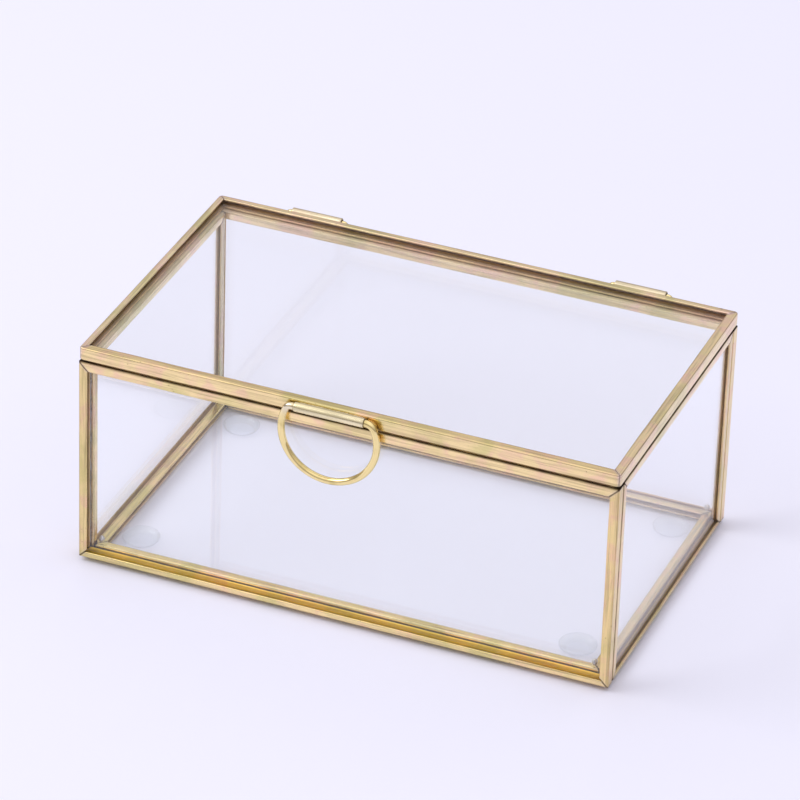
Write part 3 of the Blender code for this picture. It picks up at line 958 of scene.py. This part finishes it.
def solder_fillet(name, tube, rail):
    """Solder that has run into the groove between a tube and the rail behind it: a triangle drawn along them.

    It swells and thins a little along its length, and closes at both ends.
    """
    low, high = box_of(tube)
    rail_low, rail_high = box_of(rail)
    radius = (high[2] - low[2]) / 2
    centre = (low + high) / 2
    face = rail_low[1] if centre[1] < 0 else rail_high[1]
    sign = np.sign(centre[1])
    count, sides = 90, 12
    share = np.linspace(0.0, 1.0, count)
    short_of_end = 0.5 * MM
    run = low[0] + short_of_end + (high[0] - low[0] - 2 * short_of_end) * share
    uneven = 0.86 + 0.14 * waves(run, seed_of(name), (6 * MM, 2.3 * MM, 1.1 * MM))
    swell = closed_ends(share, 24) * uneven
    corners = np.array([[0.04, -0.5], [0.04, 0.62], [0.62, 0.50]]) * radius
    middle = np.array([0.14, 0.22]) * radius
    turn = np.linspace(0.0, 3.0, sides, endpoint=False)
    first = np.floor(turn).astype(int) % 3
    along = (turn % 1.0)[:, None]
    flat = corners[first] * (1.0 - along) + corners[(first + 1) % 3] * along - middle
    section = flat[None] * swell[:, None, None] + middle
    y = face + sign * (section[..., 0] + 0.02 * MM)
    z = centre[2] + section[..., 1]
    points = np.stack([run[:, None] + 0.0 * y, y, z], -1)
    strip = flat_map(run / CM, np.linspace(0.0, 0.2, sides + 1))
    mesh = sheet_mesh(name, points, strip, False, True)
    return show(name, mesh, FILLET_SOLDER, "lid", (), 50.0)


# ---------------------------------------------------------------------------------------------------------
# The pieces
# ---------------------------------------------------------------------------------------------------------

for node, cad in sorted(frame["nodes"].items()):
    if node.endswith(("_rail", "_stile")):
        brass_rail(node, node.split("_")[0] + "_pane")
    elif node.endswith("_pane"):
        dress_pane(cad)
    elif node.startswith("foot_"):
        bumper_foot(node)
    elif node.startswith("solder_bead_"):
        solder_bead(node)

HANDLE_BORE = 1.0 * MM
HINGE_BORE = 0.70 * MM

barrel("handle_barrel", HANDLE_BORE, TUBE_BRASS)
solder_fillet("handle_fillet", "handle_barrel", "lid_front_rail")
pull_ring()
for word in ("left", "right"):
    barrel("hinge_barrel_" + word, HINGE_BORE, HINGE_BRASS)
    solder_fillet("hinge_fillet_" + word, "hinge_barrel_" + word, "lid_back_rail")
    hinge_pin("hinge_pin_" + word, "hinge_barrel_" + word)

SEAM_FROM_SIDE = 1.5 * MM  # from the box's left or right face in to a corner seam's middle
SEAM_FROM_FACE = 3.15 * MM  # the same from its front or back face
SEAM_SHORT = 0.6 * MM  # how far a seam stops short of the body's top and bottom
SEAM_WIDTH = (1.4 * MM, 0.26 * MM, 0.26 * MM)

frame_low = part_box("front_bottom_rail")[0]
body_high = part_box("back_top_rail")[1]
for word_x, sign_x in (("left", -1.0), ("right", 1.0)):
    for word_y, sign_y in (("front", -1.0), ("back", 1.0)):
        x = sign_x * (body_high[0] - SEAM_FROM_SIDE)
        y = sign_y * (body_high[1] - SEAM_FROM_FACE)
        start = (x, y, frame_low[2] + SEAM_SHORT)
        end = (x, y, body_high[2] - SEAM_SHORT)
        solder_seam(f"corner_seam_{word_y}_{word_x}", start, end, SEAM_WIDTH, "case")

# ---------------------------------------------------------------------------------------------------------
# Table, light and camera
# ---------------------------------------------------------------------------------------------------------


TABLE_REACH = 4.0  # metres from the middle of the box to the table's edge

# The room's colour by how far a direction points up, from level or below (0) to straight up (1).
ROOM_COLOURS = (
    (0.0, (0.34, 0.31, 0.32)),
    (0.28, (0.44, 0.42, 0.44)),
    (0.5, (0.62, 0.60, 0.63)),
    (0.75, (0.97, 0.95, 1.0)),
    (1.0, (1.20, 1.18, 1.25)),
)
ROOM_BRIGHTNESS = 1.03
LAMP_WIDTH = 1.1
LAMP_WATTS = 7.4
LAMP_COLOUR = (1.0, 0.985, 0.99)
LAMP_PLACE = (-1.05, -0.45, 1.15)

# Where the camera stands and how it is tipped, and its lens. Distances are in lengths of the box.
CAMERA_TURN, CAMERA_LIFT, CAMERA_TIP = (math.radians(degrees) for degrees in (21.13, 30.99, 2.04))
CAMERA_AWAY, CAMERA_LEFT, CAMERA_UP = 9.507, 0.01436, 0.06028
SENSOR_WIDTH = 36.0
FOCAL_LENGTH = 241.3


def lay_table():
    """A wide flat sheet under the feet."""
    side = np.linspace(-TABLE_REACH, TABLE_REACH, 9)
    x, y = np.meshgrid(side, side, indexing="ij")
    points = np.stack([x, y, np.full_like(x, bounds_of_cad[0][2])], -1)
    mesh = sheet_mesh("table", points, flat_map(side, side), False, False)
    mesh.materials.append(table_top("table_top"))
    if mesh.polygons[0].normal.z < 0:
        mesh.flip_normals()
    table = bpy.data.objects.new("table", mesh)
    bpy.context.scene.collection.objects.link(table)


def light_room():
    """A pale room that darkens towards its lower walls, and one broad soft lamp high at the front left."""
    world = bpy.data.worlds.new("pale_room")
    bpy.context.scene.world = world
    world.use_nodes = True
    tree = world.node_tree
    tree.nodes.clear()
    place = tree.nodes.new("ShaderNodeTexCoord")
    split = tree.nodes.new("ShaderNodeSeparateXYZ")
    ramp = tree.nodes.new("ShaderNodeValToRGB")
    background = tree.nodes.new("ShaderNodeBackground")
    output = tree.nodes.new("ShaderNodeOutputWorld")
    tree.links.new(place.outputs["Generated"], split.inputs["Vector"])
    tree.links.new(split.outputs["Z"], ramp.inputs["Fac"])
    tree.links.new(ramp.outputs["Color"], background.inputs["Color"])
    tree.links.new(background.outputs["Background"], output.inputs["Surface"])
    stops = ramp.color_ramp.elements
    for stop, (position, colour) in zip(stops, (ROOM_COLOURS[0], ROOM_COLOURS[-1])):
        stop.position = position
        stop.color = rgb(*colour)
    for position, colour in ROOM_COLOURS[1:-1]:
        stops.new(position).color = rgb(*colour)
    background.inputs["Strength"].default_value = ROOM_BRIGHTNESS
    lamp = bpy.data.lights.new("soft_lamp", "AREA")
    lamp.shape = "DISK"
    lamp.size = LAMP_WIDTH
    lamp.energy = LAMP_WATTS
    lamp.color = LAMP_COLOUR
    holder = bpy.data.objects.new("soft_lamp", lamp)
    holder.location = LAMP_PLACE
    holder.rotation_euler = (-holder.location).to_track_quat("-Z", "Y").to_euler()
    bpy.context.scene.collection.objects.link(holder)


def set_camera():
    """A long lens that looks down on the front right corner, tipped a little to one side."""
    frame_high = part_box("lid_back_rail")[1]
    centre = (Vector(frame_low) + Vector(frame_high)) / 2
    length = frame_high[0] - frame_low[0]
    level = Vector((math.cos(CAMERA_TURN), math.sin(CAMERA_TURN), 0.0))
    away = math.cos(CAMERA_LIFT)
    back = Vector((math.sin(CAMERA_TURN) * away, -math.cos(CAMERA_TURN) * away, math.sin(CAMERA_LIFT)))
    up = back.cross(level)
    right = level * math.cos(CAMERA_TIP) + up * math.sin(CAMERA_TIP)
    top = up * math.cos(CAMERA_TIP) - level * math.sin(CAMERA_TIP)
    camera = bpy.data.cameras.new("camera")
    camera.sensor_width = SENSOR_WIDTH
    camera.lens = FOCAL_LENGTH
    holder = bpy.data.objects.new("camera", camera)
    place = centre + back * (CAMERA_AWAY * length)
    place = place - right * (CAMERA_LEFT * length) + top * (CAMERA_UP * length)
    holder.matrix_world = Matrix.Translation(place) @ Matrix((right, top, back)).transposed().to_4x4()
    bpy.context.scene.collection.objects.link(holder)
    bpy.context.scene.camera = holder


lay_table()
light_room()
set_camera()
bpy.context.scene.view_settings.view_transform = "Standard"
bpy.context.scene.cycles.transparent_max_bounces = 48
